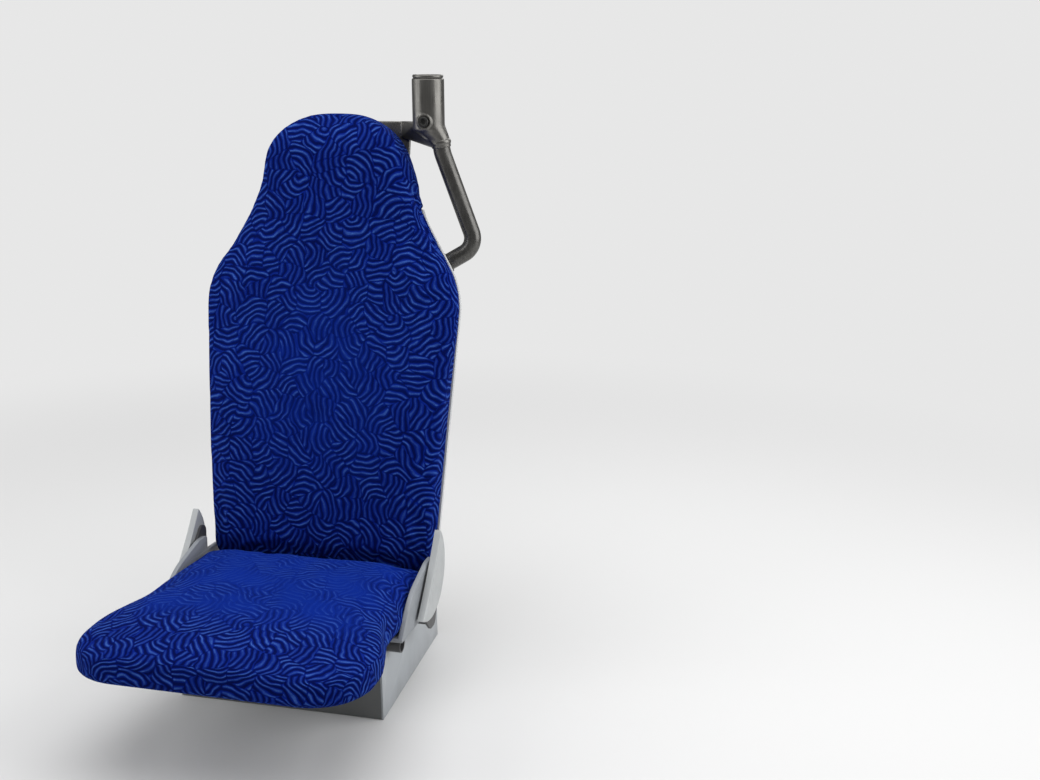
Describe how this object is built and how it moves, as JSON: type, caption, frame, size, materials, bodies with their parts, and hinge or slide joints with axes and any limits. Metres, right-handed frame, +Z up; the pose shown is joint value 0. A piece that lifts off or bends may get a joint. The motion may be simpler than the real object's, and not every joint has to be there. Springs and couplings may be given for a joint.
{
  "type": "city bus passenger seat",
  "caption": "High-backed upholstered bus seat on a low bolt-down plinth, with a stanchion socket and a grab handle at its aisle shoulder.",
  "frame": {"origin": "on the floor, at the middle of the plinth's floor bolt pattern", "axes": "+Z up, the seat faces -Y, its aisle side with the handle is +X"},
  "size_m": [0.4769, 0.6747, 0.985],
  "materials": {
    "moquette": "royal blue cut-pile moquette with a wavy ribbed weave",
    "shell_board": "light grey moulded board, satin",
    "rear_plastic": "mid grey moulded plastic, fine grain",
    "pan_plastic": "light grey moulded plastic, fine grain",
    "cover_plastic": "light warm grey moulded plastic, fine grain",
    "black_steel": "black stoved paint",
    "plinth_paint": "light grey powder coat",
    "plinth_sheet_paint": "mid grey powder coat",
    "socket_casting": "satin grey casting",
    "screw_steel": "dull zinc plate",
    "handle_coating": "dark grey grip coating",
    "handle_rubber": "black moulded rubber"
  },
  "bodies": {
    "root": {"back_pad": "moquette", "seat_cushion": "moquette", "back_shell": "shell_board", "rear_panel": "rear_plastic", "cushion_pan": "pan_plastic", "hip_cover_left": "cover_plastic", "hip_cover_right": "cover_plastic", "hip_bracket_left": "black_steel", "hip_bracket_right": "black_steel", "back_riser_left": "black_steel", "back_riser_right": "black_steel", "cross_tube_front": "black_steel", "cross_tube_rear": "black_steel", "plinth_cheek_left": "plinth_paint", "plinth_cheek_right": "plinth_paint", "plinth_sheet_front": "plinth_sheet_paint", "plinth_sheet_rear": "plinth_sheet_paint", "plinth_lid": "plinth_sheet_paint", "stanchion_socket": "socket_casting", "socket_ring": "socket_casting", "socket_screw": "screw_steel", "handle_tube": "handle_coating", "handle_foot": "handle_rubber", "handle_collar": "handle_rubber"}
  },
  "joints": []
}
